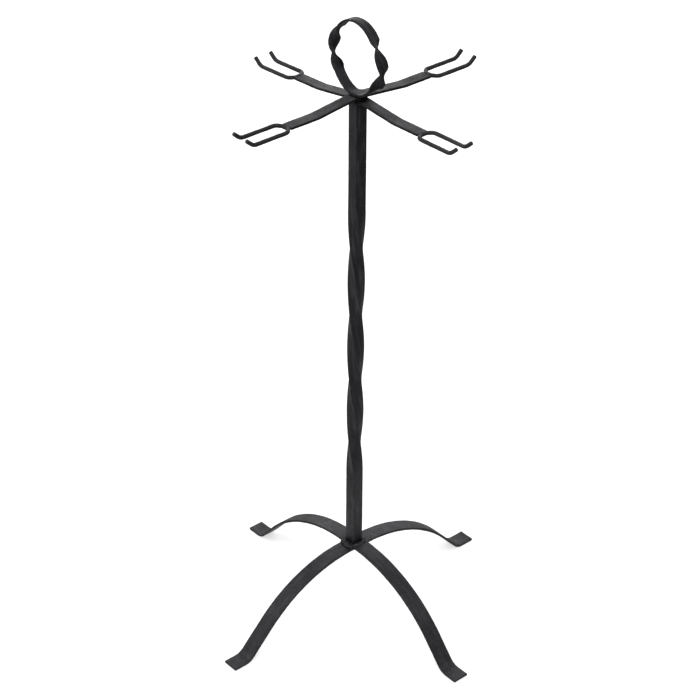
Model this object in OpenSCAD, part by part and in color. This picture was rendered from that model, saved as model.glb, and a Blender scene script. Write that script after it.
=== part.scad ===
// Four-fork wrought-iron stand, welded from square bar, flat bar, strap and round rod.
// The origin is on the floor below the post and +Z is up. One pair of legs and one pair of
// arms lie along X and the other pairs lie along Y. The ring stands over the first pair.
// Lists of four give one value for each limb: +X, -X, +Y, -Y.

/* [Post] */
// Side of the square bar
post_side = 14; // [12:0.5:14]
// Height of the foot of the post above the floor
post_foot_z = 91; // [85:1:110]
// Length of the post
post_length = 574; // [480:1:640]
// Straight stretch below the twist
post_plain_below = 103; // [60:1:120]
// Straight stretch above the twist
post_plain_above = 126; // [100:1:180]
// Turn of the twisted stretch, a little over a full turn
post_twist = 365; // [360:1:370]

/* [Legs] */
// Width of the flat bar
leg_width = 20; // [19:0.5:24]
// Thickness of the flat bar
leg_thickness = 3; // [2.5:0.25:3.5]
// Half of the flat crown that the other pieces are welded to
leg_crown_half = 12; // [11:0.5:14]
// Radius of the long arch
leg_arch_radius = 170; // [150:1:175]
// Slope of each leg where its arch ends
leg_slope = [49, 48.5, 47.5, 45.5]; // [40:0.5:50]
// Radius of the bend at the heel
heel_radius = 16; // [10:0.5:18]
// Length of the flat pad that rests on the floor
heel_pad = 10; // [4:0.5:14]
// Radius of the slight curl from the pad to the toe
toe_radius = 60; // [40:1:90]
// Rise of the toe
toe_slope = 4; // [1:0.5:12]
// Distance from the axis of the post to the tip of each toe
foot_reach = 189; // [188:0.5:215]

/* [Arms] */
// Width of the flat bar
arm_width = 14; // [12:0.5:14]
// Thickness of the flat bar
arm_thickness = 3; // [2.5:0.25:4]
// Half of the flat middle
arm_middle_half = 9; // [8:0.5:10]
// Radius of the bend beside the middle
arm_inner_radius = 12; // [8:0.5:20]
// Droop of each inner run below level
arm_droop = [6, 8.5, 6, 7]; // [4:0.5:12]
// Length of each inner run
arm_inner_run = [46, 42.5, 47, 44.5]; // [35:0.5:60]
// Radius of the bend back towards level
arm_outer_radius = 60; // [40:1:90]
// Angle of the bend back towards level
arm_lift = 6.5; // [3:0.5:10]
// Length of the outer run
arm_outer_run = 32.5; // [25:0.5:45]
// How far each arm bar is turned from square with the legs: lower bar, upper bar
arm_turn = [1.4, -0.6]; // [-3:0.1:3]

/* [Forks] */
// Diameter of the round rod
rod_diameter = 4.5; // [3.5:0.25:5]
// Clear gap between the two tines
fork_gap = 16.5; // [15:0.5:22]
// Length from the end of the arm to the elbow of the tine
tine_length = 47; // [40:0.5:60]
// Half of the straight base of the U
fork_base_half = 2.5; // [1.5:0.25:3]
// Radius of the corners of the U
fork_corner_radius = 4; // [3:0.5:4.5]
// Angle between the shoulders of the U and the arm
fork_shoulder = 55; // [45:1:60]
// Radius between shoulder and tine
fork_shoulder_radius = 7; // [5:0.5:8]
// Radius of the elbow
elbow_radius = 11; // [6:0.5:14]
// Rise of the tip above the tine
tip_slope = 42; // [30:1:60]
// Straight length of the tip, without its round end
tip_length = 5; // [3:0.5:12]

/* [Ring] */
// How far the ring is turned from the plane of the first pair of legs
ring_plane_turn = 4; // [-5:0.5:5]
// How far the ring leans out of the upright, towards -Y
ring_lean = 1; // [-3:0.5:3]
// How far the middle of the ring is from the axis of the post, along the ring
ring_offset = -0.25; // [-1:0.25:1]
// Half of the width of the oval, to the middle of the strap
ring_half_width = 32; // [30:0.5:45]
// Half of the height of the oval, to the middle of the strap
ring_half_height = 41; // [35:0.5:50]
// Width of the strap
ring_width = 12.5; // [10:0.5:12.5]
// Thickness of the strap
ring_thickness = 2.75; // [2:0.25:2.75]
// Half of the flat at the bottom of the ring
ring_flat_half = 6; // [5:0.5:7]
// Lower end of the twisted stretch, as an angle below level: +X side, -X side
ring_twist_below = [47, 32.5]; // [20:0.5:60]
// Upper end of the twisted stretch, as an angle above level: +X side, -X side
ring_twist_above = [39.5, 41]; // [20:0.5:80]
// Turn of the strap in each stretch, in the same sense round the ring: +X side, -X side
ring_turn = [360, 360]; // [-360:360:360]
// How far the middle of each twist stands out from the oval: +X side, -X side
ring_bulge = [4.2, 1.4]; // [0:0.2:5]
// How far the middle of each twist stands off the plane of the ring: +X side, -X side
ring_drift = [0.4, -1.6]; // [-2:0.2:2]
// Roll of the strap at the top of the ring
ring_top_roll = -6.5; // [-10:0.5:10]

/* [Welds] */
// Leg of the fillet round the foot of the post
foot_weld = 2.75; // [2:0.25:3]
// Leg of the fillets below the crossing of the legs
crossing_weld = 3; // [2:0.25:4]
// Leg of the fillets at the head of the post, between the arms and under the ring
head_weld = 2.25; // [1.5:0.25:3]
// Radius of the bead across the end of each arm
fork_weld = 2.8; // [2.4:0.1:3.2]

/* [Hidden] */
$fn = 48;
FRONT_RIGHT = 0;
REAR_LEFT = 1;
REAR_RIGHT = 2;
FRONT_LEFT = 3;
post_top_z = post_foot_z + post_length;
post_half = post_side / 2;
twist_length = post_length - post_plain_below - post_plain_above;
twist_slices = 96;
upper_crown_z = post_foot_z - leg_thickness / 2;
lower_crown_z = upper_crown_z - leg_thickness;
lower_arm_z = post_top_z + arm_thickness / 2;
upper_arm_z = lower_arm_z + arm_thickness;
ARM_Z = [lower_arm_z, lower_arm_z, upper_arm_z, upper_arm_z];
ARM_AZIMUTH = [arm_turn[0], 180 + arm_turn[0], 90 + arm_turn[1], 270 + arm_turn[1]];
arms_top_z = post_top_z + 2 * arm_thickness;
rod_radius = rod_diameter / 2;
tine_offset = fork_gap / 2 + rod_radius;
fork_weld_lead = 0.5;
fork_weld_margin = 0.5;
iron = [0.13, 0.13, 0.14];
weld_grey = [0.2, 0.2, 0.21];

// ---- Bent stock ----
// A path is a list of steps in a plane. [length, 0] is a straight run, and [radius, turn] is
// an arc that turns left for a positive turn. A pose is [x, y, heading].

function step_end(pose, step) =
    step[1] == 0
    ? [pose[0] + step[0] * cos(pose[2]), pose[1] + step[0] * sin(pose[2]), pose[2]]
    : let (
        reach = step[1] < 0 ? -step[0] : step[0],
        heading = pose[2] + step[1]
    )
    [
        pose[0] - reach * sin(pose[2]) + reach * sin(heading),
        pose[1] + reach * cos(pose[2]) - reach * cos(heading),
        heading,
    ];

// Splits each arc of a path into equal arcs of at most the given angle
function split_arcs(path, angle) = [
    for (step = path)
        let (pieces = max(1, ceil(abs(step[1]) / angle)))
        for (i = [1 : pieces])
            [step[0], step[1] / pieces]
];

// Every pose along a path, the start included
function poses(start, path) = [
    for (
        i = 0, pose = start;
        i <= len(path);
        pose = i < len(path) ? step_end(pose, path[i]) : pose, i = i + 1
    )
        pose
];

function last(list) = list[len(list) - 1];

function reversed(list) = [for (i = [len(list) - 1 : -1 : 0]) list[i]];

function without_first(list) = [for (i = [1 : len(list) - 1]) list[i]];

// One edge of a strip: the poses moved sideways, and mirrored for a flip of -1
function edge_of(poses, sideways, flip) = [
    for (pose = poses)
        [flip * (pose[0] - sideways * sin(pose[2])), pose[1] + sideways * cos(pose[2])]
];

// A flat bar bent in the XZ plane: one path runs out along +X and the other along -X
module bent_bar(middle_z, plus_path, minus_path, width, thickness, arc_angle) {
    start = [0, middle_z, 0];
    plus = without_first(poses(start, split_arcs(plus_path, arc_angle)));
    minus = without_first(poses(start, split_arcs(minus_path, arc_angle)));
    outline = concat(
        edge_of(plus, thickness / 2, 1),
        reversed(edge_of(plus, -thickness / 2, 1)),
        edge_of(minus, -thickness / 2, -1),
        reversed(edge_of(minus, thickness / 2, -1))
    );
    rotate([90, 0, 0])
        translate([0, 0, -width / 2])
            linear_extrude(height = width)
                polygon(outline);
}

// A bar swept through stations of [centre, side, up, radius]. Side and up are square to the bar,
// and side crossed with up points back along it. The section is a regular polygon whose corners
// lie at the radius.
module swept_bar(stations, sides) {
    points = [
        for (station = stations, i = [0 : sides - 1])
            station[0] + station[3] * cos(360 * i / sides) * station[1]
                + station[3] * sin(360 * i / sides) * station[2]
    ];
    skin = [
        for (s = [0 : len(stations) - 2], i = [0 : sides - 1])
            let (
                next = (i + 1) % sides,
                a = s * sides + i,
                b = s * sides + next
            )
            each [[a, b, b + sides], [a, b + sides, a + sides]]
    ];
    first_cap = [for (i = [sides - 1 : -1 : 0]) i];
    last_cap = [for (i = [0 : sides - 1]) (len(stations) - 1) * sides + i];
    polyhedron(points = points, faces = concat(skin, [first_cap, last_cap]));
}

// ---- Legs ----
bar_arc_angle = 1.5;

// Straight run that brings the pad down to the floor from a crown at the given height
function leg_straight(slope, crown_z) =
    let (arc_drop = (leg_arch_radius + heel_radius) * (1 - cos(slope)))
    (crown_z - leg_thickness / 2 - arc_drop) / sin(slope);

// Straight length of the toe that puts its lower edge at the given reach
function toe_straight(slope, crown_z) =
    let (
        heel_x = leg_crown_half + (leg_arch_radius + heel_radius) * sin(slope)
            + leg_straight(slope, crown_z) * cos(slope),
        curl_x = heel_x + heel_pad + (toe_radius + leg_thickness / 2) * sin(toe_slope)
    )
    (foot_reach - curl_x) / cos(toe_slope);

function leg_path(slope, crown_z) = [
    [leg_crown_half, 0],
    [leg_arch_radius, -slope],
    [leg_straight(slope, crown_z), 0],
    [heel_radius, slope],
    [heel_pad, 0],
    [toe_radius, toe_slope],
    [toe_straight(slope, crown_z), 0],
];

module leg_bar(plus, minus, crown_z) {
    bent_bar(
        crown_z, leg_path(leg_slope[plus], crown_z), leg_path(leg_slope[minus], crown_z),
        leg_width, leg_thickness, bar_arc_angle
    );
}

module leg_bar_upper() {
    color(iron)
        leg_bar(FRONT_RIGHT, REAR_LEFT, upper_crown_z);
}

module leg_bar_lower() {
    color(iron)
        rotate([0, 0, 90])
            leg_bar(REAR_RIGHT, FRONT_LEFT, lower_crown_z);
}

// ---- Post ----

// Heights above the foot, each with its share of the twist
post_levels = concat(
    [[0, 0]],
    [
        for (i = [0 : twist_slices])
            [post_plain_below + twist_length * i / twist_slices, i / twist_slices]
    ],
    [[post_length, 1]]
);

module post() {
    stations = [
        for (level = post_levels)
            let (angle = 45 - post_twist * level[1])
            [
                [0, 0, post_foot_z + level[0]],
                [cos(angle), sin(angle), 0],
                [-sin(angle), cos(angle), 0],
                post_half * sqrt(2),
            ]
    ];
    color(iron)
        swept_bar(reversed(stations), 4);
}

// ---- Arms ----

function arm_path(which) = [
    [arm_middle_half, 0],
    [arm_inner_radius, -arm_droop[which]],
    [arm_inner_run[which], 0],
    [arm_outer_radius, arm_lift],
    [arm_outer_run, 0],
];

module arm_bar(plus, minus, middle_z) {
    bent_bar(
        middle_z, arm_path(plus), arm_path(minus),
        arm_width, arm_thickness, bar_arc_angle
    );
}

module arm_bar_lower() {
    color(iron)
        rotate([0, 0, ARM_AZIMUTH[FRONT_RIGHT]])
            arm_bar(FRONT_RIGHT, REAR_LEFT, lower_arm_z);
}

module arm_bar_upper() {
    color(iron)
        rotate([0, 0, ARM_AZIMUTH[REAR_RIGHT]])
            arm_bar(REAR_RIGHT, FRONT_LEFT, upper_arm_z);
}

// Places its children at the end of an arm: x runs on out of the arm, z is across it
module at_arm_end(which) {
    end = last(poses([0, ARM_Z[which], 0], arm_path(which)));
    rotate([90, 0, ARM_AZIMUTH[which]])
        translate([end[0], end[1], 0])
            rotate([0, 0, end[2]])
                children();
}

// ---- Forks ----
rod_sides = 20;
rod_arc_angle = 12;

// Half of the U in plan: base, corner, shoulder and the bend into the straight tine
shoulder_run = (tine_offset - fork_base_half - fork_corner_radius * cos(fork_shoulder)
    - fork_shoulder_radius * (1 - cos(fork_shoulder))) / sin(fork_shoulder);
half_u = [
    [fork_base_half, 0],
    [fork_corner_radius, fork_shoulder - 90],
    [shoulder_run, 0],
    [fork_shoulder_radius, -fork_shoulder],
];
plan_poses = poses([rod_radius, 0, 90], split_arcs(half_u, rod_arc_angle));
tip_poses = poses(
    [tine_length, 0, 0],
    split_arcs([[elbow_radius, tip_slope], [tip_length, 0]], rod_arc_angle)
);
tip_end = last(tip_poses);

// Stations along one tine: the half U in plan, the tip in side view, then its round end
plan_stations = [
    for (pose = without_first(plan_poses))
        [[pose[0], 0, pose[1]], [-sin(pose[2]), 0, cos(pose[2])], [0, 1, 0], rod_radius]
];
tip_stations = [
    for (pose = tip_poses)
        [[pose[0], pose[1], tine_offset], [0, 0, 1], [-sin(pose[2]), cos(pose[2]), 0], rod_radius]
];
end_stations = [
    for (angle = [30, 60, 80])
        [
            [
                tip_end[0] + rod_radius * sin(angle) * cos(tip_end[2]),
                tip_end[1] + rod_radius * sin(angle) * sin(tip_end[2]),
                tine_offset,
            ],
            [0, 0, 1],
            [-sin(tip_end[2]), cos(tip_end[2]), 0],
            rod_radius * cos(angle),
        ]
];
tine_stations = concat(plan_stations, tip_stations, end_stations);

function across(point) = [point[0], point[1], -point[2]];

other_tine_stations = [
    for (station = tine_stations)
        [across(station[0]), across(station[1]), station[2], station[3]]
];

module fork_rod() {
    swept_bar(concat(reversed(other_tine_stations), tine_stations), rod_sides);
}

module fork(which) {
    color(iron)
        at_arm_end(which)
            fork_rod();
}

module weld_fork(which) {
    color(weld_grey)
        at_arm_end(which)
            difference() {
                translate([fork_weld_lead, 0, fork_weld_margin - arm_width / 2])
                    cylinder(h = arm_width - 2 * fork_weld_margin, r = fork_weld);
                translate([-2 * fork_weld, -arm_thickness / 2, -arm_width])
                    cube([2 * fork_weld, arm_thickness, 2 * arm_width]);
                fork_rod();
            }
}

// ---- Ring ----

// The strap follows an upright oval whose bottom is cut to a flat. Its width starts square to
// the plane of the ring and turns through the two twisted stretches.
ring_stations = 144;
ring_first = -acos(ring_flat_half / ring_half_width);
ring_last = 180 - ring_first;
ring_flat_z = arms_top_z + ring_thickness / 2;
ring_centre_z = ring_flat_z - ring_half_height * sin(ring_first);

function ramp(angle, low, high) = min(1, max(0, (angle - low) / (high - low)));

// Side of the ring that an angle lies on: 0 for +X, 1 for -X
function ring_side(angle) = angle < 90 ? 0 : 1;

function strap_turn(angle) =
    ring_turn[0] * ramp(angle, -ring_twist_below[0], ring_twist_above[0])
    + ring_turn[1] * ramp(angle, 180 - ring_twist_above[1], 180 + ring_twist_below[1])
    + ring_top_roll * ramp(angle, ring_twist_above[0], 90)
    - ring_top_roll * ramp(angle, 90, 180 - ring_twist_above[1]);

// Unit vector out of the oval; the ends of the flat face straight down
function ring_outward(i, angle) =
    i == 0 || i == ring_stations - 1
    ? [0, 0, -1]
    : let (square_to = [ring_half_height * cos(angle), 0, ring_half_width * sin(angle)])
    square_to / norm(square_to);

// Middle of the strap at an angle round the oval
function ring_middle(angle) =
    let (z = ring_centre_z + ring_half_height * sin(angle))
    [ring_offset + ring_half_width * cos(angle), (ring_flat_z - z) * tan(ring_lean), z];

// Four corners of the strap at one station
function ring_section(i) =
    let (
        angle = ring_first + (ring_last - ring_first) * i / (ring_stations - 1),
        outward = ring_outward(i, angle),
        turn = strap_turn(angle),
        across = cos(turn) * [0, 1, 0] + sin(turn) * outward,
        through = cos(turn) * outward - sin(turn) * [0, 1, 0],
        centre = ring_middle(angle)
            + ring_bulge[ring_side(angle)] / 2 * (outward - through)
            + ring_drift[ring_side(angle)] / 2 * ([0, 1, 0] - across)
    )
    [
        for (corner = [[1, 1], [-1, 1], [-1, -1], [1, -1]])
            centre + corner[0] * ring_width / 2 * across
                + corner[1] * ring_thickness / 2 * through
    ];

module ring() {
    corners = [for (i = [0 : ring_stations - 1]) each ring_section(i)];
    total = len(corners);
    faces = [
        for (i = [0 : ring_stations - 1], j = [0 : 3])
            let (
                a = 4 * i + j,
                b = 4 * i + (j + 1) % 4,
                c = (b + 4) % total,
                d = (a + 4) % total
            )
            each [[a, b, c], [a, c, d]]
    ];
    color(iron)
        rotate([0, 0, ring_plane_turn])
            polyhedron(points = corners, faces = faces);
}

// ---- Welds ----

// A fillet of triangular section, centred along x, in the corner where y and z are positive
module fillet(length, leg) {
    translate([-length / 2, 0, 0])
        rotate([90, 0, 90])
            linear_extrude(height = length)
                polygon([[0, 0], [leg, 0], [0, leg]]);
}

// A fillet of the same section round a square bar, mitred at the corners
module square_fillet(side, leg) {
    corners = [[1, 1], [-1, 1], [-1, -1], [1, -1]];
    rings = [[side / 2, 0], [side / 2 + leg, 0], [side / 2, leg]];
    polyhedron(
        points = [for (ring = rings, corner = corners) [ring[0] * corner[0], ring[0] * corner[1], ring[1]]],
        faces = [
            for (j = [0 : 3])
                let (k = (j + 1) % 4)
                each [[j, j + 4, k + 4, k], [j, k, k + 8, j + 8], [j + 4, j + 8, k + 8, k + 4]]
        ]
    );
}

module weld_post_foot() {
    color(weld_grey)
        translate([0, 0, post_foot_z])
            square_fillet(post_side, foot_weld);
}

// Below the upper bar, along both sides of the lower one
module weld_leg_crossing() {
    color(weld_grey)
        difference() {
            for (turn = [90, -90])
                rotate([0, 0, turn])
                    translate([0, leg_width / 2, post_foot_z - leg_thickness])
                        mirror([0, 0, 1])
                            fillet(leg_width - 2, crossing_weld);
            leg_bar(FRONT_RIGHT, REAR_LEFT, upper_crown_z);
        }
}

// Below the lower arm bar, on the two faces of the post that it passes over
module weld_post_head() {
    color(weld_grey)
        difference() {
            for (turn = [90, -90])
                rotate([0, 0, turn - post_twist])
                    translate([0, post_half, post_top_z])
                        mirror([0, 0, 1])
                            fillet(min(post_side, arm_width) - 2, head_weld);
            arm_bar_lower();
        }
}

// On the lower arm bar, along both sides of the upper one
module weld_arm_crossing() {
    color(weld_grey)
        for (turn = [0, 180])
            rotate([0, 0, turn + ARM_AZIMUTH[REAR_RIGHT]])
                translate([0, arm_width / 2, post_top_z + arm_thickness])
                    fillet(arm_width - 1, head_weld);
}

// On the upper arm bar, along both edges of the flat of the ring
module weld_ring() {
    color(weld_grey)
        rotate([0, 0, ring_plane_turn])
            translate([ring_offset, 0, arms_top_z])
                for (turn = [0, 180])
                    rotate([0, 0, turn])
                        translate([0, ring_width / 2, 0])
                            fillet(2 * ring_flat_half - 2, ring_thickness);
}

post();
leg_bar_upper();
leg_bar_lower();
arm_bar_lower();
arm_bar_upper();
fork(FRONT_RIGHT);  // fork_front_right
fork(REAR_LEFT);  // fork_rear_left
fork(REAR_RIGHT);  // fork_rear_right
fork(FRONT_LEFT);  // fork_front_left
ring();
weld_post_foot();
weld_leg_crossing();
weld_post_head();
weld_arm_crossing();
weld_ring();
weld_fork(FRONT_RIGHT);  // weld_fork_front_right
weld_fork(REAR_LEFT);  // weld_fork_rear_left
weld_fork(REAR_RIGHT);  // weld_fork_rear_right
weld_fork(FRONT_LEFT);  // weld_fork_front_left
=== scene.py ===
"""Looks of a four-fork wrought-iron stand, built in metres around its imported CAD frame.

Every CAD node is replaced by a forged piece of its own: bars with rounded, slightly uneven
edges, swept rods and strap, and lumpy weld beads, all in worn satin black paint.
"""

import math

import bmesh
import bpy
import numpy as np
from mathutils import Matrix, Vector, noise


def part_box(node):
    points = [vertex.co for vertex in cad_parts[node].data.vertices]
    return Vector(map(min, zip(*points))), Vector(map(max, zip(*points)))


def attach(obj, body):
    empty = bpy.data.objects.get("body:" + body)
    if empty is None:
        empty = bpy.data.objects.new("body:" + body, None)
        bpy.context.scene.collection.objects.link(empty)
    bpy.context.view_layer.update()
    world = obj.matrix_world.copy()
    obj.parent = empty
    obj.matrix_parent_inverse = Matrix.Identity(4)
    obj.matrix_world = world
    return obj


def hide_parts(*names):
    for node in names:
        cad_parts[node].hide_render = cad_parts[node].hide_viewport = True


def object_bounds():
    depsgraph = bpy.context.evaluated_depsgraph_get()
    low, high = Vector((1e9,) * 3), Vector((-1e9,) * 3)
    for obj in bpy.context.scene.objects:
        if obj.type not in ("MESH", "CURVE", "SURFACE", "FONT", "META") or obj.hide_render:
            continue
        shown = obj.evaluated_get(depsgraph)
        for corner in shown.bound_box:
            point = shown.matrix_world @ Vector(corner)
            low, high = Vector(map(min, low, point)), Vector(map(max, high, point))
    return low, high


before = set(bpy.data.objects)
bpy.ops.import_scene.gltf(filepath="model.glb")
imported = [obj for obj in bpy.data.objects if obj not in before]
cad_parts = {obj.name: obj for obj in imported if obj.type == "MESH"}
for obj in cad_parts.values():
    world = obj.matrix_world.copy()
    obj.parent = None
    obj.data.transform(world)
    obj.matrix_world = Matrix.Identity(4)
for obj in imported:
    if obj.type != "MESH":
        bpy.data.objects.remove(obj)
CAD_LOW, CAD_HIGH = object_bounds()
MM = 0.001

# Limbs, in the order of the lists of four below
FRONT_RIGHT, REAR_LEFT, REAR_RIGHT, FRONT_LEFT = range(4)
LIMB_NAMES = ("front_right", "rear_left", "rear_right", "front_left")

# Post
POST_SIDE = 14 * MM
POST_PLAIN_BELOW = 103 * MM
POST_PLAIN_ABOVE = 126 * MM
POST_TWIST = 365

# Legs
LEG_WIDTH = 20 * MM
LEG_THICKNESS = 3 * MM
LEG_CROWN_HALF = 12 * MM
LEG_ARCH_RADIUS = 170 * MM
LEG_SLOPE = (49, 48.5, 47.5, 45.5)
HEEL_RADIUS = 16 * MM
HEEL_PAD = 10 * MM
TOE_RADIUS = 60 * MM
TOE_SLOPE = 4

# Arms
ARM_WIDTH = 14 * MM
ARM_THICKNESS = 3 * MM
ARM_MIDDLE_HALF = 9 * MM
ARM_INNER_RADIUS = 12 * MM
ARM_DROOP = (6, 8.5, 6, 7)
ARM_INNER_RUN = (46 * MM, 42.5 * MM, 47 * MM, 44.5 * MM)
ARM_OUTER_RADIUS = 60 * MM
ARM_LIFT = 6.5
ARM_OUTER_RUN = 32.5 * MM
ARM_AZIMUTH = (1.4, 181.4, 89.4, 269.4)

# Forks
ROD_RADIUS = 2.25 * MM
FORK_GAP = 16.5 * MM
TINE_LENGTH = 47 * MM
FORK_BASE_HALF = 2.5 * MM
FORK_CORNER_RADIUS = 4 * MM
FORK_SHOULDER = 55
FORK_SHOULDER_RADIUS = 7 * MM
ELBOW_RADIUS = 11 * MM
TIP_SLOPE = 42
TIP_LENGTH = 5 * MM

# Ring
RING_PLANE_TURN = 4
RING_LEAN = 1
RING_OFFSET = -0.25 * MM
RING_HALF_WIDTH = 32 * MM
RING_HALF_HEIGHT = 41 * MM
RING_WIDTH = 12.5 * MM
RING_THICKNESS = 2.75 * MM
RING_FLAT_HALF = 6 * MM
RING_TURN = 360
RING_TOP_ROLL = -6.5
# On the +X side and on the -X side
RING_TWIST_BELOW = (47, 32.5)
RING_TWIST_ABOVE = (39.5, 41)
RING_BULGE = (4.2 * MM, 1.4 * MM)
RING_DRIFT = (0.4 * MM, -1.6 * MM)

# Heights, from the frame
POST_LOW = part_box("post")[0].z
POST_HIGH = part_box("post")[1].z
ARMS_TOP = POST_HIGH + 2 * ARM_THICKNESS
FOOT_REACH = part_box("leg_bar_upper")[1].x

# Mesh spacing along the stock and round its section
SPACING = 1.6 * MM
PLAN_SPACING = 0.8 * MM
TINE_SPACING = 0.9 * MM
ARC_STEP = 6
SECTION_SPACING = 1.5 * MM
RING_SECTION_SPACING = 1.3 * MM
RING_STATIONS = 200
RING_FLAT_STATIONS = 6
CORNER_PIECES = 4
ROD_SIDES = 20

# Edges and cut ends of the stock
EDGE_RADIUS = 0.7 * MM
EDGE_WEAR_WIDTH = 1.5 * MM
EDGE_WEAR_SIDE = 0.5
END_RADIUS = 0.6 * MM
END_ANGLES = (0, 30, 60, 90)

# Hammered unevenness: its two sizes, the share of the smaller one, its noise as roughness, scale
# step and octaves, and its height on each stock
BROAD_DENT = 9 * MM
SMALL_DENT = 3 * MM
SMALL_DENT_SHARE = 0.45
DENT_NOISE = (0.9, 2.1, 3)
DENT_SEED_SHIFT = Vector((7.3, 3.1, 5.7))
POST_DENT = 0.035 * MM
BAR_DENT = 0.12 * MM
ROD_DENT = 0.16 * MM
RING_DENT = 0.1 * MM

# Lengthwise streaks of the drawn bar, and their height on each stock
STREAK_LENGTH = 30 * MM
STREAK_WIDTH = 2.2 * MM
STREAK_NOISE = (0.8, 2.2, 3)
STREAK_SEED_SHIFT = 4.7
STREAK_HEIGHT = 0.05 * MM
POST_STREAK = 0.09 * MM
BAR_STREAK = 0.1 * MM

# Painted shade at the foot and head of the post, and painted shadow on the lower arm bar round the
# crossing, under the ring and the upper bar
JOINT_SHADE_HEIGHT = 3.5 * MM
JOINT_SHADE_REACH = 11 * MM
CROSSING_SHADE_REACH = 17 * MM
CROSSING_SHADE_FADE = 4 * MM
JOINT_SHADED_PIECES = ("post", "arm")
CROSSING_SHADED_PIECE = "arm_strip_lower"


# ---- Paths ----


def walk(steps, spacing=SPACING, start=(0.0, 0.0, 0.0)):
    """Poses (x, y, heading in degrees) along straight runs (length, 0) and arcs (radius, turn)."""
    poses = [start]
    for size, turn in steps:
        x, y, heading = poses[-1]
        length = size if turn == 0 else size * abs(math.radians(turn))
        pieces = max(1, math.ceil(length / spacing), math.ceil(abs(turn) / ARC_STEP))
        for i in range(1, pieces + 1):
            part = i / pieces
            if turn == 0:
                a = math.radians(heading)
                poses.append((x + size * part * math.cos(a), y + size * part * math.sin(a), heading))
                continue
            reach = math.copysign(size, turn)
            a, b = math.radians(heading), math.radians(heading + turn * part)
            poses.append((
                x - reach * math.sin(a) + reach * math.sin(b),
                y + reach * math.cos(a) - reach * math.cos(b),
                heading + turn * part,
            ))
    return poses


def turned(vectors, azimuth):
    """Vectors turned about the Z axis by an angle in degrees."""
    c, s = math.cos(math.radians(azimuth)), math.sin(math.radians(azimuth))
    return vectors @ np.array([[c, s, 0], [-s, c, 0], [0, 0, 1]])


# ---- Swept meshes ----


def round_bar_section(width, thickness, radius, spacing=SECTION_SPACING):
    """Points, outward normals and edge weights of a rounded rectangle, anticlockwise."""
    points, normals, edges = [], [], []
    inner = (width / 2 - radius, thickness / 2 - radius)
    side_normals = ((0, 1), (-1, 0), (0, -1), (1, 0))
    for corner, (sx, sy) in enumerate(((1, 1), (-1, 1), (-1, -1), (1, -1))):
        for k in range(CORNER_PIECES + 1):
            a = math.radians(90 * corner + 90 * k / CORNER_PIECES)
            normal = (math.cos(a), math.sin(a))
            points.append((sx * inner[0] + radius * normal[0], sy * inner[1] + radius * normal[1]))
            normals.append(normal)
            edges.append(1.0)
        normal = side_normals[corner]
        along = (-normal[1], normal[0])
        length = 2 * inner[corner % 2]
        last = points[-1]
        pieces = max(2, round(length / spacing))
        for k in range(1, pieces):
            step = length * k / pieces
            points.append((last[0] + along[0] * step, last[1] + along[1] * step))
            normals.append(normal)
            from_edge = min(step, length - step)
            edges.append(max(0.0, 1 - from_edge / EDGE_WEAR_WIDTH) * EDGE_WEAR_SIDE)
    return np.array(points), np.array(normals), np.array(edges)


def round_rod_section(radius):
    """Points, outward normals and edge weights of a circle."""
    a = np.arange(ROD_SIDES) * 2 * math.pi / ROD_SIDES
    normals = np.stack([np.cos(a), np.sin(a)], 1)
    return radius * normals, normals, np.zeros(ROD_SIDES)


def unevenness(points, size, seed):
    """Smooth noise from about -1 to 1 at each point, with features of the given size."""
    shift = seed * DENT_SEED_SHIFT
    return np.array([noise.fractal(Vector(p) / size + shift, *DENT_NOISE) for p in points])


def drawn_streaks(local, centres, seed):
    """Noise from about -1 to 1 that runs along the stock, at each point of each station."""
    steps = np.linalg.norm(np.diff(centres, axis=0), axis=1)
    along = np.concatenate([[0.0], np.cumsum(steps)]) / STREAK_LENGTH
    around = local / STREAK_WIDTH + seed * STREAK_SEED_SHIFT
    return np.array([
        [noise.fractal(Vector((x, y, z)), *STREAK_NOISE) for x, y in around] for z in along
    ]).ravel()


def sweep(
    name, centres, sides, ups, section, seed, closed=False, dent=BAR_DENT, streak=STREAK_HEIGHT
):
    """A mesh swept through stations, with rounded ends unless it is closed."""
    points, normals, edges = section
    insets = np.zeros(len(centres))
    if not closed:
        centres, sides, ups, insets = with_round_ends(centres, sides, ups)
    count, ring = len(centres), len(points)
    verts = np.empty((count, ring, 3))
    outward = np.empty((count, ring, 3))
    for i in range(count):
        local = points - normals * insets[i]
        verts[i] = centres[i] + local[:, :1] * sides[i] + local[:, 1:] * ups[i]
        outward[i] = normals[:, :1] * sides[i] + normals[:, 1:] * ups[i]
    flat = verts.reshape(-1, 3)
    bumps = unevenness(flat, BROAD_DENT, seed)
    bumps += SMALL_DENT_SHARE * unevenness(flat, SMALL_DENT, seed + 9)
    streaks = drawn_streaks(points, centres, seed)
    flat = flat + outward.reshape(-1, 3) * (dent * bumps + streak * streaks)[:, None]
    faces = []
    for i in range(count if closed else count - 1):
        a, b = i * ring, (i + 1) % count * ring
        for j in range(ring):
            k = (j + 1) % ring
            faces.append((a + j, a + k, b + k, b + j))
    if not closed:
        faces.append(tuple(range(ring - 1, -1, -1)))
        faces.append(tuple((count - 1) * ring + j for j in range(ring)))
    return make_piece(name, flat, faces, np.tile(edges, count), streaks)


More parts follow.
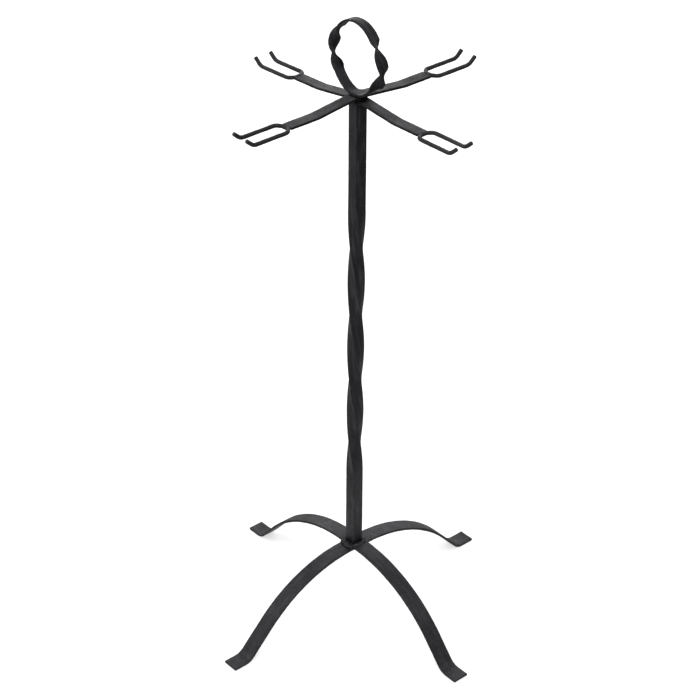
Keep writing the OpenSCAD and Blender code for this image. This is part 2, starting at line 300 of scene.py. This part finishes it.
def with_round_ends(centres, sides, ups):
    """Adds stations that round over both cut ends, and gives each station's inset."""
    angles = [math.radians(a) for a in END_ANGLES]
    near_end = 1.2 * END_RADIUS
    first, last = centres[1] - centres[0], centres[-1] - centres[-2]
    first, last = first / np.linalg.norm(first), last / np.linalg.norm(last)
    start = [centres[0] + first * END_RADIUS * (1 - math.sin(a)) for a in reversed(angles)]
    end = [centres[-1] - last * END_RADIUS * (1 - math.sin(a)) for a in angles]
    keep_first = np.linalg.norm(centres - centres[0], axis=1) > near_end
    keep_last = np.linalg.norm(centres - centres[-1], axis=1) > near_end
    keep = keep_first & keep_last
    inset = [END_RADIUS * (1 - math.cos(a)) for a in angles]
    n = len(angles)
    return (
        np.concatenate([start, centres[keep], end]),
        np.concatenate([np.repeat(sides[:1], n, 0), sides[keep], np.repeat(sides[-1:], n, 0)]),
        np.concatenate([np.repeat(ups[:1], n, 0), ups[keep], np.repeat(ups[-1:], n, 0)]),
        np.concatenate([inset[::-1], np.zeros(keep.sum()), inset]),
    )


def make_piece(name, verts, faces, edges, streaks):
    """A smooth mesh object whose points carry their edge wear, streaks and painted shade at the
    joints.
    """
    mesh = bpy.data.meshes.new(name)
    mesh.from_pydata([tuple(v) for v in verts], [], faces)
    shell = bmesh.new()
    shell.from_mesh(mesh)
    bmesh.ops.recalc_face_normals(shell, faces=shell.faces)
    shell.to_mesh(mesh)
    shell.free()
    # Painted shade: points near the post's foot and head turn darker, and on the lower arm bar so do
    # those round the crossing, in the shadow of the ring and the upper bar.
    depth = np.abs(verts[:, 2, None] - (POST_LOW, POST_HIGH)).min(1)
    reach = np.hypot(verts[:, 0], verts[:, 1])
    painted_joint_shade = np.exp(-depth / JOINT_SHADE_HEIGHT) * (reach < JOINT_SHADE_REACH)
    if name == CROSSING_SHADED_PIECE:
        painted_joint_shade = np.maximum(painted_joint_shade, np.clip((CROSSING_SHADE_REACH - reach) / CROSSING_SHADE_FADE, 0, 1))
    painted_joint_shade *= name.startswith(JOINT_SHADED_PIECES)
    for label, values in (("edge", edges), ("streak", streaks), ("painted_joint_shade", painted_joint_shade)):
        layer = mesh.attributes.new(label, "FLOAT", "POINT")
        layer.data.foreach_set("value", values.astype(np.float32))
    for polygon in mesh.polygons:
        polygon.use_smooth = True
    piece = bpy.data.objects.new(name, mesh)
    bpy.context.collection.objects.link(piece)
    return piece


def finish_piece(piece, slot, material, *nodes):
    """Paints a piece, hangs it under the root body, and hides the CAD nodes that it replaces."""
    piece.data.materials.append(material)
    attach(piece, "root")
    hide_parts(*nodes)


# ---- Materials ----

# Colours of the paint, from the painted shade on sides and at joints to bare iron in the chips
PAINT_DARK = (0.0135, 0.0131, 0.0147)
PAINT_LIGHT = (0.0235, 0.0228, 0.0256)
PAINT_SHADE = (0.003, 0.0029, 0.0032)
PAINT_DUSTY = (0.058, 0.056, 0.061)
PAINT_STREAK = (0.09, 0.087, 0.094)
PAINT_RUBBED = (0.065, 0.063, 0.066)
BARE_IRON = (0.3, 0.29, 0.29)
PAINT_TINT = (0.95, 0.93, 1.0, 1.0)
# Sheen left in the painted shade at the joints
JOINT_SHADE_GLOSS = 0.12

# Noise scales of the paint, per metre
TONE_SCALE = 60
SHEEN_SCALE = 85
RUB_SCALE = 140
CHIP_SCALE = 210
GRAIN_SCALE = 330
FINE_GRAIN_SCALE = 1100
FINE_GRAIN_SHARE = 0.35
GRAIN_DEPTH = 0.25 * MM


def painted_iron(name, bump, mottle, side_shade, rub, gloss, lines=0.47, joint_shaded=False):
    """Satin black paint: streaks, mottling, painted shade on the sides, rubbed edges, a few chips,
    and painted shade with a dulled sheen at the joints.
    """
    material = bpy.data.materials.new(name)
    material.use_nodes = True
    nodes, links = material.node_tree.nodes, material.node_tree.links
    shader = nodes["Principled BSDF"]
    place = nodes.new("ShaderNodeTexCoord").outputs["Object"]

    def cloud(scale, detail, rough=0.55):
        node = nodes.new("ShaderNodeTexNoise")
        node.inputs["Scale"].default_value = scale
        node.inputs["Detail"].default_value = detail
        node.inputs["Roughness"].default_value = rough
        links.new(place, node.inputs["Vector"])
        return node.outputs["Fac"]

    def ramp(value, low, high, start=0.0, end=1.0):
        node = nodes.new("ShaderNodeMapRange")
        node.inputs["From Min"].default_value = low
        node.inputs["From Max"].default_value = high
        node.inputs["To Min"].default_value = start
        node.inputs["To Max"].default_value = end
        links.new(value, node.inputs["Value"])
        return node.outputs["Result"]

    def times(a, b):
        node = nodes.new("ShaderNodeMath")
        node.operation = "MULTIPLY"
        links.new(a, node.inputs[0])
        links.new(b, node.inputs[1])
        return node.outputs["Value"]

    def mix(amount, a, b):
        node = nodes.new("ShaderNodeMix")
        node.data_type = "RGBA"
        links.new(amount, node.inputs["Factor"])
        for value, socket in ((a, node.inputs["A"]), (b, node.inputs["B"])):
            if isinstance(value, tuple):
                socket.default_value = (*value, 1)
            else:
                links.new(value, socket)
        return node.outputs["Result"]

    def stored(label):
        node = nodes.new("ShaderNodeAttribute")
        node.attribute_name = label
        return node.outputs["Fac"]

    facing = nodes.new("ShaderNodeSeparateXYZ")
    links.new(nodes.new("ShaderNodeNewGeometry").outputs["Normal"], facing.inputs["Vector"])
    shader.inputs["Specular IOR Level"].default_value = gloss
    shader.inputs["Specular Tint"].default_value = PAINT_TINT
    tone = mix(ramp(cloud(TONE_SCALE, 4), 0.35, 0.68), PAINT_DARK, PAINT_LIGHT)
    drawn = mix(ramp(stored("streak"), 0.0, 0.9, 0, lines), tone, PAINT_STREAK)
    worked = mix(ramp(cloud(GRAIN_SCALE, 4, 0.65), 0.5, 0.75, 0, mottle), drawn, PAINT_DUSTY)
    # Painted shade: faces turned sideways get darker paint.
    shaded = mix(ramp(facing.outputs["Z"], 0.1, 0.8, side_shade, 0), worked, PAINT_SHADE)
    rubbed = times(ramp(stored("edge"), 0.55, 1.0), ramp(cloud(RUB_SCALE, 5), 0.45, 0.7, 0, rub))
    worn = mix(rubbed, shaded, PAINT_RUBBED)
    colour = mix(ramp(cloud(CHIP_SCALE, 2, 0.4), 0.77, 0.79), worn, BARE_IRON)
    # Painted shade at the joints: darker paint and a dulled sheen where the points are marked for
    # it.
    if joint_shaded:
        colour = mix(ramp(stored("painted_joint_shade"), 0.1, 1.0, 0, 0.9), colour, PAINT_SHADE)
        dulled = ramp(stored("painted_joint_shade"), 0.1, 1.0, gloss, JOINT_SHADE_GLOSS)
        links.new(dulled, shader.inputs["Specular IOR Level"])
    links.new(colour, shader.inputs["Base Color"])
    links.new(ramp(cloud(SHEEN_SCALE, 5), 0.3, 0.7, 0.42, 0.6), shader.inputs["Roughness"])

    relief = nodes.new("ShaderNodeMath")
    relief.operation = "MULTIPLY_ADD"
    relief.inputs[1].default_value = FINE_GRAIN_SHARE
    links.new(cloud(FINE_GRAIN_SCALE, 3), relief.inputs[0])
    links.new(cloud(GRAIN_SCALE, 4), relief.inputs[2])
    lift = nodes.new("ShaderNodeBump")
    lift.inputs["Strength"].default_value = bump
    lift.inputs["Distance"].default_value = GRAIN_DEPTH
    links.new(relief.outputs["Value"], lift.inputs["Height"])
    links.new(lift.outputs["Normal"], shader.inputs["Normal"])
    return material


# bump and gloss are strengths. mottle, side_shade, rub and lines are the shares, from 0 to 1, that
# dusty paint, painted shade on the sides, rubbed paint and streaked paint may take. The flag at the
# end adds painted shade with a dulled sheen at the joints.
post_paint = painted_iron(
    "post_black", bump=0.3, mottle=0.35, side_shade=0.0, rub=1.0, gloss=0.44, lines=0.75, joint_shaded=True
)
leg_paint = painted_iron("leg_black", bump=0.8, mottle=0.85, side_shade=1.0, rub=0.1, gloss=0.49)
arm_paint = painted_iron(
    "arm_black", bump=0.7, mottle=0.8, side_shade=1.0, rub=0.1, gloss=0.43, joint_shaded=True
)
rod_paint = painted_iron("rod_black", bump=0.5, mottle=0.4, side_shade=0.0, rub=0.2, gloss=0.45)
ring_paint = painted_iron("ring_black", bump=0.5, mottle=0.5, side_shade=0.0, rub=0.2, gloss=0.36)
weld_paint = painted_iron("weld_black", bump=0.7, mottle=0.8, side_shade=0.0, rub=0.0, gloss=0.6)
# Weld paint in painted shade: dark and dull, for the welds of the ring and the arm crossing, which
# sit in shadow
shaded_weld_paint = painted_iron("weld_painted_shade", bump=0.7, mottle=0.1, side_shade=1.0, rub=0.0, gloss=0.08)


# ---- Post ----


def post_stations():
    """Stations of the square bar from its foot to its head."""
    low, high = POST_LOW + POST_PLAIN_BELOW, POST_HIGH - POST_PLAIN_ABOVE
    levels = np.linspace(POST_LOW, POST_HIGH, round((POST_HIGH - POST_LOW) / SPACING))
    share = np.clip((levels - low) / (high - low), 0, 1)
    angles = np.radians(-POST_TWIST * share)
    zero = np.zeros_like(levels)
    centres = np.stack([zero, zero, levels], 1)
    sides = np.stack([np.cos(angles), np.sin(angles), zero], 1)
    ups = np.stack([-np.sin(angles), np.cos(angles), zero], 1)
    return centres, sides, ups


def build_post():
    section = round_bar_section(POST_SIDE, POST_SIDE, EDGE_RADIUS)
    piece = sweep(
        "post_twisted_bar", *post_stations(), section, seed=1, dent=POST_DENT, streak=POST_STREAK
    )
    finish_piece(piece, "iron_black", post_paint, "post")


# ---- Bars of the legs and arms ----


def bar_stations(plus, minus, middle_z, azimuth):
    """Stations from the end of the minus path, through the middle, to the end of the plus path."""
    rows = [(-x, z, -heading) for x, z, heading in reversed(minus[1:])] + plus
    x, z, heading = np.array(rows).T
    a = np.radians(heading)
    zero = np.zeros_like(x)
    centres = np.stack([x, zero, middle_z + z], 1)
    ups = np.stack([-np.sin(a), zero, np.cos(a)], 1)
    sides = np.tile([0.0, 1.0, 0.0], (len(x), 1))
    return tuple(turned(v, azimuth) for v in (centres, ups, -sides))


def leg_steps(slope, crown_z):
    """Runs and arcs of a leg, from its crown to its toe."""
    a, toe = math.radians(slope), math.radians(TOE_SLOPE)
    drop = (LEG_ARCH_RADIUS + HEEL_RADIUS) * (1 - math.cos(a))
    straight = (crown_z - LEG_THICKNESS / 2 - drop) / math.sin(a)
    heel_x = LEG_CROWN_HALF + (LEG_ARCH_RADIUS + HEEL_RADIUS) * math.sin(a) + straight * math.cos(a)
    curl_x = heel_x + HEEL_PAD + (TOE_RADIUS + LEG_THICKNESS / 2) * math.sin(toe)
    return [
        (LEG_CROWN_HALF, 0),
        (LEG_ARCH_RADIUS, -slope),
        (straight, 0),
        (HEEL_RADIUS, slope),
        (HEEL_PAD, 0),
        (TOE_RADIUS, TOE_SLOPE),
        ((FOOT_REACH - curl_x) / math.cos(toe), 0),
    ]


def arm_steps(which):
    """Runs and arcs of an arm, from the middle to its end."""
    return [
        (ARM_MIDDLE_HALF, 0),
        (ARM_INNER_RADIUS, -ARM_DROOP[which]),
        (ARM_INNER_RUN[which], 0),
        (ARM_OUTER_RADIUS, ARM_LIFT),
        (ARM_OUTER_RUN, 0),
    ]


def build_bar(name, node, paint, plus_steps, minus_steps, middle_z, azimuth, width, thickness, seed):
    stations = bar_stations(walk(plus_steps), walk(minus_steps), middle_z, azimuth)
    section = round_bar_section(thickness, width, EDGE_RADIUS)
    piece = sweep(name, *stations, section, seed, streak=BAR_STREAK)
    finish_piece(piece, "iron_black", paint, node)


def build_legs():
    pairs = (
        ("leg_bar_upper", FRONT_RIGHT, REAR_LEFT, 0),
        ("leg_bar_lower", REAR_RIGHT, FRONT_LEFT, 90),
    )
    for level, (node, plus, minus, azimuth) in enumerate(pairs):
        crown_z = POST_LOW - (level + 0.5) * LEG_THICKNESS
        build_bar(
            node.replace("bar", "arch"), node, leg_paint,
            leg_steps(LEG_SLOPE[plus], crown_z), leg_steps(LEG_SLOPE[minus], crown_z),
            crown_z, azimuth, LEG_WIDTH, LEG_THICKNESS, seed=2 + level,
        )


def arm_z(which):
    """Height of the middle of the bar that an arm belongs to."""
    level = 0 if which in (FRONT_RIGHT, REAR_LEFT) else 1
    return POST_HIGH + (level + 0.5) * ARM_THICKNESS


def build_arms():
    pairs = (("arm_bar_lower", FRONT_RIGHT, REAR_LEFT), ("arm_bar_upper", REAR_RIGHT, FRONT_LEFT))
    for level, (node, plus, minus) in enumerate(pairs):
        build_bar(
            node.replace("bar", "strip"), node, arm_paint, arm_steps(plus), arm_steps(minus),
            arm_z(plus), ARM_AZIMUTH[plus], ARM_WIDTH, ARM_THICKNESS, seed=4 + level,
        )


# ---- Forks ----


def arm_end(which):
    """Function that places points (along the arm, up, across it) given from the arm's end."""
    x, z, heading = walk(arm_steps(which))[-1]
    a = math.radians(heading)
    turn = np.array([[math.cos(a), 0, math.sin(a)], [-math.sin(a), 0, math.cos(a)], [0, -1, 0]])
    origin = np.array([x, 0, arm_z(which) + z])

    def place(points, direction=False):
        moved = np.asarray(points, float) @ turn
        return turned(moved if direction else moved + origin, ARM_AZIMUTH[which])

    return place


def fork_stations():
    """Stations of the U rod from one tip to the other, as (along, up, across) from the arm."""
    offset = FORK_GAP / 2 + ROD_RADIUS
    a = math.radians(FORK_SHOULDER)
    shoulder = (
        offset - FORK_BASE_HALF - FORK_CORNER_RADIUS * math.cos(a)
        - FORK_SHOULDER_RADIUS * (1 - math.cos(a))
    ) / math.sin(a)
    plan = walk([
        (FORK_BASE_HALF, 0),
        (FORK_CORNER_RADIUS, FORK_SHOULDER - 90),
        (shoulder, 0),
        (FORK_SHOULDER_RADIUS, -FORK_SHOULDER),
    ], PLAN_SPACING, (ROD_RADIUS, 0.0, 90.0))
    bend_x = plan[-1][0]
    tine = walk(
        [(TINE_LENGTH - bend_x, 0), (ELBOW_RADIUS, TIP_SLOPE), (TIP_LENGTH + ROD_RADIUS, 0)],
        TINE_SPACING, (bend_x, 0.0, 0.0),
    )
    rows = []
    for x, y, heading in plan[1:]:
        h = math.radians(heading)
        rows.append(((x, 0, y), (-math.sin(h), 0, math.cos(h)), (0, 1, 0)))
    for x, y, heading in tine[1:]:
        h = math.radians(heading)
        rows.append(((x, y, offset), (0, 0, 1), (-math.sin(h), math.cos(h), 0)))
    half = np.array(rows)
    other = half[::-1] * np.array([1, 1, -1])
    both = np.concatenate([other, half])
    return both[:, 0], both[:, 1], both[:, 2]


def build_forks():
    centres, sides, ups = fork_stations()
    section = round_rod_section(ROD_RADIUS)
    for which, limb in enumerate(LIMB_NAMES):
        place = arm_end(which)
        piece = sweep(
            f"fork_rod_{limb}", place(centres), place(sides, True), place(ups, True),
            section, seed=10 + which, dent=ROD_DENT,
        )
        finish_piece(piece, "iron_black", rod_paint, f"fork_{limb}")


# ---- Ring ----


def ring_stations():
    """Stations round the ring: the oval with its two twists, and then the flat at its foot."""
    first = math.acos(RING_FLAT_HALF / RING_HALF_WIDTH)
    low = ARMS_TOP + RING_THICKNESS / 2
    centre_z = low + RING_HALF_HEIGHT * math.sin(first)
    angles = np.linspace(-first, math.pi + first, RING_STATIONS)
    degrees = np.degrees(angles)

    def share(start, end):
        return np.clip((degrees - start) / (end - start), 0, 1)

    right_end, left_start = RING_TWIST_ABOVE[0], 180 - RING_TWIST_ABOVE[1]
    turn = RING_TURN * share(-RING_TWIST_BELOW[0], right_end)
    turn += RING_TURN * share(left_start, 180 + RING_TWIST_BELOW[1])
    turn += RING_TOP_ROLL * (share(right_end, 90) - share(90, left_start))
    heights = centre_z + RING_HALF_HEIGHT * np.sin(angles)
    lean = (low - heights) * math.tan(math.radians(RING_LEAN))
    centres = np.stack([RING_OFFSET + RING_HALF_WIDTH * np.cos(angles), lean, heights], 1)
    outward = np.stack(
        [RING_HALF_HEIGHT * np.cos(angles), 0 * angles, RING_HALF_WIDTH * np.sin(angles)], 1
    )
    outward /= np.linalg.norm(outward, axis=1, keepdims=True)

    flat = np.linspace(-1, 1, RING_FLAT_STATIONS + 2)[1:-1]
    flat_centres = np.stack([RING_OFFSET + flat * RING_FLAT_HALF, 0 * flat, 0 * flat + low], 1)
    centres = np.concatenate([centres, flat_centres])
    outward = np.concatenate([outward, np.tile([0.0, 0.0, -1.0], (len(flat), 1))])
    outward[0] = outward[len(angles) - 1] = (0, 0, -1)
    turn = np.radians(np.concatenate([turn, 0 * flat]))[:, None]
    width_way = np.array([0.0, 1.0, 0.0])
    across = np.cos(turn) * width_way + np.sin(turn) * outward
    through = np.cos(turn) * outward - np.sin(turn) * width_way
    right = np.concatenate([degrees < 90, flat > 0])[:, None]
    centres += np.where(right, *RING_BULGE) / 2 * (outward - through)
    centres += np.where(right, *RING_DRIFT) / 2 * (width_way - across)
    return tuple(turned(v, RING_PLANE_TURN) for v in (centres, across, through))


def build_ring():
    section = round_bar_section(RING_WIDTH, RING_THICKNESS, EDGE_RADIUS, RING_SECTION_SPACING)
    piece = sweep("ring_strap", *ring_stations(), section, seed=20, closed=True, dent=RING_DENT)
    finish_piece(piece, "iron_black", ring_paint, "ring")


# ---- Weld beads ----

# Every bead: its mesh, its ripples, its blunt ends and the size of its lumps
BEAD_SIDES = 18
BEAD_SPACING = 0.5 * MM
RIPPLE_HEIGHT = 0.07
RIPPLE_PITCH = 1.7 * MM
RIPPLE_BOW = 1.3
BEAD_END = 0.02
LUMP_SIZE = 4 * MM


def bead(path, radius, seed, squash=1.0, lump=0.16):
    """A rippled bead of weld along an open path of points, as (vertices, faces)."""
    count, ring = len(path), BEAD_SIDES
    before = np.concatenate([path[:1], path[:-1]])
    after = np.concatenate([path[1:], path[-1:]])
    tangent = after - before
    tangent /= np.linalg.norm(tangent, axis=1, keepdims=True)
    side = np.cross(np.tile([0.0, 0.0, 1.0], (count, 1)), tangent)
    side /= np.linalg.norm(side, axis=1, keepdims=True)
    up = np.cross(tangent, side)
    steps = np.linalg.norm(path - before, axis=1)
    along = np.cumsum(steps)
    around = np.arange(ring) * 2 * math.pi / ring
    phase = along[:, None] / RIPPLE_PITCH * 2 * math.pi + RIPPLE_BOW * np.cos(around)
    ripple = 1 + RIPPLE_HEIGHT * np.sin(phase)
    ends = np.clip(np.minimum(along - along[0], along[-1] - along) / radius, 0, 1)
    swell = np.sqrt(ends * (2 - ends) + BEAD_END)
    size = radius * swell[:, None] * ripple
    verts = (
        path[:, None]
        + (size * np.cos(around))[..., None] * side[:, None]
        + (size * squash * np.sin(around))[..., None] * up[:, None]
    ).reshape(-1, 3)
    lumps = 1 + lump * unevenness(verts, LUMP_SIZE, seed)
    centre = np.repeat(path, ring, 0)
    verts = centre + (verts - centre) * lumps[:, None]
    faces = [tuple(range(ring - 1, -1, -1))]
    for a in range(0, (count - 1) * ring, ring):
        for j in range(ring):
            k = (j + 1) % ring
            faces.append((a + j, a + k, a + ring + k, a + ring + j))
    faces.append(tuple((count - 1) * ring + j for j in range(ring)))
    return verts, faces


def build_beads(name, node, parts, paint):
    """One piece from several beads."""
    verts, faces = [], []
    for part_verts, part_faces in parts:
        shift = sum(len(v) for v in verts)
        verts.append(part_verts)
        faces += [tuple(i + shift for i in face) for face in part_faces]
    verts = np.concatenate(verts)
    piece = make_piece(name, verts, faces, np.zeros(len(verts)), np.zeros(len(verts)))
    finish_piece(piece, "weld_black", paint, node)


def line(start, end):
    """Points along a straight line, a bead's spacing apart."""
    start, end = np.asarray(start, float), np.asarray(end, float)
    pieces = max(4, round(np.linalg.norm(end - start) / BEAD_SPACING))
    return start + (end - start) * np.linspace(0, 1, pieces + 1)[:, None]


def side_beads(half_gap, half_length, z, radius, azimuth, seed):
    """Two beads along the two sides of a bar that lies at an azimuth."""
    parts = []
    for way in (1, -1):
        path = line((-half_length, way * half_gap, z), (half_length, way * half_gap, z))
        parts.append(bead(turned(path, azimuth), radius, seed + way))
    return parts


# Beads round the foot of the post: start, end, depth below the foot, radius. The front left one is
# the heaviest, and runs down over the edge of the upper leg bar.
POST_HALF = POST_SIDE / 2
FOOT_BEADS = (
    (
        (-POST_HALF - 3.5 * MM, -POST_HALF - 3.2 * MM), (POST_HALF + 3 * MM, -POST_HALF - 3.2 * MM),
        2.8 * MM, 4.8 * MM,
    ),
    (
        (POST_HALF + 3.2 * MM, -POST_HALF - 1 * MM), (POST_HALF + 3.2 * MM, POST_HALF + 2 * MM),
        0.8 * MM, 3.2 * MM,
    ),
    (
        (-POST_HALF - 1.4 * MM, -POST_HALF - 2.5 * MM), (-POST_HALF - 1.4 * MM, POST_HALF),
        0, 3.1 * MM,
    ),
    (
        (-POST_HALF, POST_HALF + 1.4 * MM), (POST_HALF + 2.5 * MM, POST_HALF + 1.4 * MM),
        0, 3.1 * MM,
    ),
)
FOOT_BEAD_SQUASH = 0.75
FOOT_BEAD_LUMP = 0.4
FOOT_BEAD_SEED = 31

# Pairs of beads along both sides of a bar: joint, distance from the bar's middle, half length,
# height, radius, azimuth, seed, paint
PAIRED_BEADS = (
    (
        "leg_crossing", LEG_WIDTH / 2 + 0.7 * MM, LEG_WIDTH / 2 - 1 * MM,
        POST_LOW - LEG_THICKNESS - 0.7 * MM, 1.9 * MM, 90, 33, weld_paint,
    ),
    (
        "post_head", POST_HALF + 0.4 * MM, POST_HALF - 1 * MM,
        POST_HIGH - 0.6 * MM, 1.5 * MM, 90 - POST_TWIST, 36, weld_paint,
    ),
    (
        "arm_crossing", ARM_WIDTH / 2 + 0.5 * MM, ARM_WIDTH / 2 - 0.5 * MM,
        POST_HIGH + ARM_THICKNESS + 0.5 * MM, 1.6 * MM, ARM_AZIMUTH[REAR_RIGHT], 39, shaded_weld_paint,
    ),
    (
        "ring", RING_WIDTH / 2 + 0.5 * MM, RING_FLAT_HALF - 1 * MM,
        ARMS_TOP + 0.5 * MM, 1.6 * MM, RING_PLANE_TURN, 42, shaded_weld_paint,
    ),
)

# The bead across each arm's end
FORK_BEAD_HALF = ARM_WIDTH / 2 - 1.2 * MM
FORK_BEAD_AHEAD = 0.6 * MM
FORK_BEAD_RADIUS = 2.6 * MM
FORK_BEAD_SQUASH = 0.9
FORK_BEAD_SEED = 50


def build_welds():
    """The beads round the post's foot, along both sides of each crossing, and at each arm's end."""
    foot = []
    for number, (start, end, drop, radius) in enumerate(FOOT_BEADS):
        path = line((*start, POST_LOW - drop), (*end, POST_LOW - drop))
        seed = FOOT_BEAD_SEED + number
        foot.append(bead(path, radius, seed, squash=FOOT_BEAD_SQUASH, lump=FOOT_BEAD_LUMP))
    build_beads("weld_bead_post_foot", "weld_post_foot", foot, weld_paint)
    for joint, half_gap, half_length, z, radius, azimuth, seed, paint in PAIRED_BEADS:
        beads = side_beads(half_gap, half_length, z, radius, azimuth, seed)
        build_beads(f"weld_bead_{joint}", f"weld_{joint}", beads, paint)
    for which, limb in enumerate(LIMB_NAMES):
        place = arm_end(which)
        ends = [(FORK_BEAD_AHEAD, 0, half) for half in (-FORK_BEAD_HALF, FORK_BEAD_HALF)]
        across = bead(
            place(line(*ends)), FORK_BEAD_RADIUS, FORK_BEAD_SEED + which, squash=FORK_BEAD_SQUASH
        )
        build_beads(f"weld_bead_fork_{limb}", f"weld_fork_{limb}", [across], weld_paint)


# ---- Floor, light and camera ----

CAMERA_AZIMUTH = 48.905
CAMERA_ELEVATION = 32.617
CAMERA_ROLL = 0.421
CAMERA_DISTANCE = 2.318
CAMERA_LENS = 105.31
LOOK_AT = Vector((-0.0264, 0.0147, 0.3385))


def build_camera():
    """The camera at the viewing angle, aimed at LOOK_AT."""
    azimuth, elevation, roll = map(math.radians, (CAMERA_AZIMUTH, CAMERA_ELEVATION, CAMERA_ROLL))
    ahead = Vector((
        -math.sin(azimuth) * math.cos(elevation),
        math.cos(azimuth) * math.cos(elevation),
        -math.sin(elevation),
    ))
    right = Vector((math.cos(azimuth), math.sin(azimuth), 0))
    up = right.cross(ahead)
    x = math.cos(roll) * right + math.sin(roll) * up
    y = math.cos(roll) * up - math.sin(roll) * right
    camera = bpy.data.objects.new("camera", bpy.data.cameras.new("camera"))
    bpy.context.collection.objects.link(camera)
    camera.data.lens = CAMERA_LENS
    camera.matrix_world = (
        Matrix.Translation(LOOK_AT - ahead * CAMERA_DISTANCE)
        @ Matrix((x, y, -ahead)).transposed().to_4x4()
    )
    bpy.context.scene.camera = camera


# Panels of the light tent: name, azimuth from the camera, elevation, width, height, power in watts
PANELS = (
    ("front_high", 0, 62, 1.7, 1.7, 23),
    ("left_middle", -90, 37, 2.4, 2.0, 26),
    ("right_middle", 90, 37, 2.4, 2.0, 12),
    ("back_middle", 180, 37, 2.4, 2.0, 12),
    ("back_low", 180, 13, 5.0, 1.3, 26),
)
PANEL_DISTANCE = 3.0
TENT_FILL = 0.2


def camera_side(azimuth, elevation):
    """Unit vector from the stand to a place given by its azimuth from the camera and elevation."""
    a, e = math.radians(CAMERA_AZIMUTH + azimuth), math.radians(elevation)
    return Vector((math.sin(a) * math.cos(e), -math.cos(a) * math.cos(e), math.sin(e)))


# The camera sees the floor's colour and glow. The stand gets light from two parts of the floor: a
# round part near the base and everything left of an edge, each given by its strength and fade.
FLOOR_HALF = 20
FLOOR_COLOUR = 0.9
FLOOR_GLOW = 0.6
FLOOR_NEAR = 0.37
FLOOR_NEAR_FADE = (0.15, 0.3)
FLOOR_LEFT = 0.33
FLOOR_LEFT_FADE = (-1.1, -0.6)


def build_floor():
    """A pale floor, with its own pattern of light for every ray that isn't from the camera."""
    half = FLOOR_HALF
    mesh = bpy.data.meshes.new("floor")
    corners = [(-half, -half, 0), (half, -half, 0), (half, half, 0), (-half, half, 0)]
    mesh.from_pydata(corners, [], [(0, 1, 2, 3)])
    floor = bpy.data.objects.new("floor", mesh)
    bpy.context.collection.objects.link(floor)
    material = bpy.data.materials.new("pale_floor")
    material.use_nodes = True
    nodes, links = material.node_tree.nodes, material.node_tree.links
    shader = nodes["Principled BSDF"]
    shader.inputs["Roughness"].default_value = 0.9
    shader.inputs["Specular IOR Level"].default_value = 0.0
    shader.inputs["Emission Color"].default_value = (1, 1, 1, 1)

    place = nodes.new("ShaderNodeNewGeometry").outputs["Position"]
    distance = nodes.new("ShaderNodeVectorMath")
    distance.operation = "LENGTH"
    links.new(place, distance.inputs[0])
    across = nodes.new("ShaderNodeVectorMath")
    across.operation = "DOT_PRODUCT"
    across.inputs[1].default_value = camera_side(-90, 0)
    links.new(place, across.inputs[0])

    def fade(value, start, end, low, high):
        node = nodes.new("ShaderNodeMapRange")
        node.interpolation_type = "SMOOTHSTEP"
        node.inputs["From Min"].default_value = start
        node.inputs["From Max"].default_value = end
        node.inputs["To Min"].default_value = low
        node.inputs["To Max"].default_value = high
        links.new(value, node.inputs["Value"])
        return node.outputs["Result"]

    near = fade(distance.outputs["Value"], *FLOOR_NEAR_FADE, FLOOR_NEAR, 0)
    left = fade(across.outputs["Value"], *FLOOR_LEFT_FADE, 0, FLOOR_LEFT)
    bounce = nodes.new("ShaderNodeMath")
    bounce.operation = "ADD"
    links.new(near, bounce.inputs[0])
    links.new(left, bounce.inputs[1])
    rays = nodes.new("ShaderNodeLightPath").outputs["Is Camera Ray"]
    for socket, source, seen in (
        ("Base Color", None, FLOOR_COLOUR),
        ("Emission Strength", bounce.outputs["Value"], FLOOR_GLOW),
    ):
        mix = nodes.new("ShaderNodeMix")
        mix.data_type = "FLOAT"
        links.new(rays, mix.inputs["Factor"])
        mix.inputs["B"].default_value = seen
        if source:
            links.new(source, mix.inputs["A"])
        links.new(mix.outputs["Result"], shader.inputs[socket])
    mesh.materials.append(material)


def add_panel(name, azimuth, elevation, width, height, power):
    """A soft panel of light that faces the middle of the stand."""
    back = camera_side(azimuth, elevation)
    data = bpy.data.lights.new(name, "AREA")
    data.shape = "RECTANGLE"
    data.size = width
    data.size_y = height
    data.energy = power
    light = bpy.data.objects.new(name, data)
    bpy.context.collection.objects.link(light)
    light.location = (CAD_LOW + CAD_HIGH) / 2 + back * PANEL_DISTANCE
    light.rotation_euler = back.to_track_quat("Z", "Y").to_euler()
    light.visible_camera = False


def build_world(fill):
    """An even fill, with a white surround behind the floor for the camera alone."""
    scene = bpy.context.scene
    scene.world = bpy.data.worlds.new("studio")
    scene.world.use_nodes = True
    nodes, links = scene.world.node_tree.nodes, scene.world.node_tree.links
    background = nodes["Background"]
    background.inputs["Color"].default_value = (1, 1, 1, 1)
    strength = nodes.new("ShaderNodeMix")
    strength.data_type = "FLOAT"
    links.new(nodes.new("ShaderNodeLightPath").outputs["Is Camera Ray"], strength.inputs["Factor"])
    strength.inputs["A"].default_value = fill
    strength.inputs["B"].default_value = 1.0
    links.new(strength.outputs["Result"], background.inputs["Strength"])


def build_light():
    """The light tent, seen with a plain view transform."""
    bpy.context.scene.view_settings.view_transform = "Standard"
    build_world(TENT_FILL)
    for panel in PANELS:
        add_panel(*panel)


build_post()
build_legs()
build_arms()
build_forks()
build_ring()
build_welds()
build_floor()
build_light()
build_camera()
